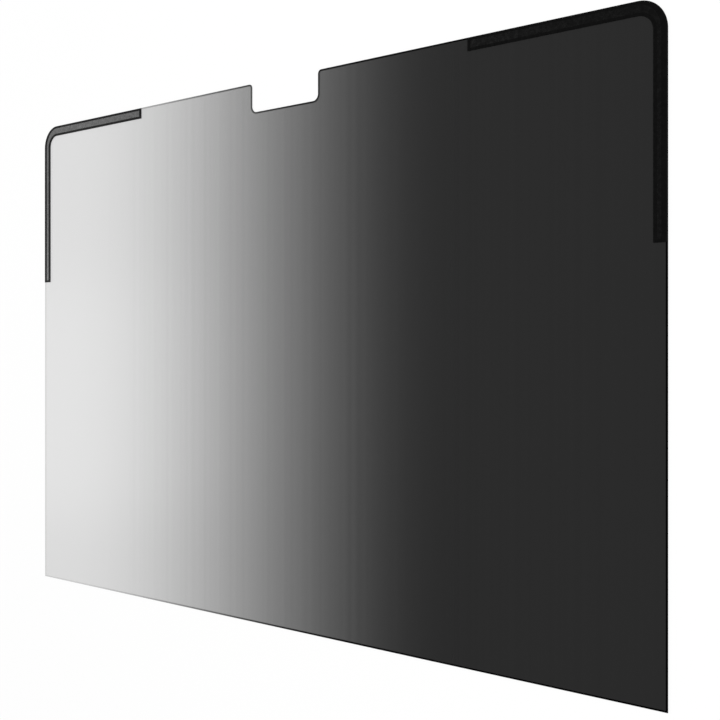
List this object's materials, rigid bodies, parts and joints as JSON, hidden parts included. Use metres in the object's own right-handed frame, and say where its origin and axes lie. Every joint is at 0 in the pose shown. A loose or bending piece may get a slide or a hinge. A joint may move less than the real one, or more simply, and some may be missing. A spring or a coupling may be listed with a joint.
{
  "type": "laptop privacy filter",
  "caption": "Thin flat privacy film for a laptop display, with rounded upper corners, a camera notch in its top edge and black L-shaped fixing strips along the upper corners.",
  "frame": {"origin": "middle of the back face, on which the filter lies", "axes": "+X along the width, +Y towards the notched top edge, +Z out of the face that carries the strips"},
  "size_m": [0.3084, 0.204, 0.0007],
  "materials": {
    "louvre_film": "satin louvred film, light grey at one side and darkening to near black at the other",
    "fixing_strip": "black, fine matt grain"
  },
  "bodies": {
    "root": {"filter_sheet": "louvre_film", "left_corner_strip": "fixing_strip", "right_corner_strip": "fixing_strip"}
  },
  "joints": []
}
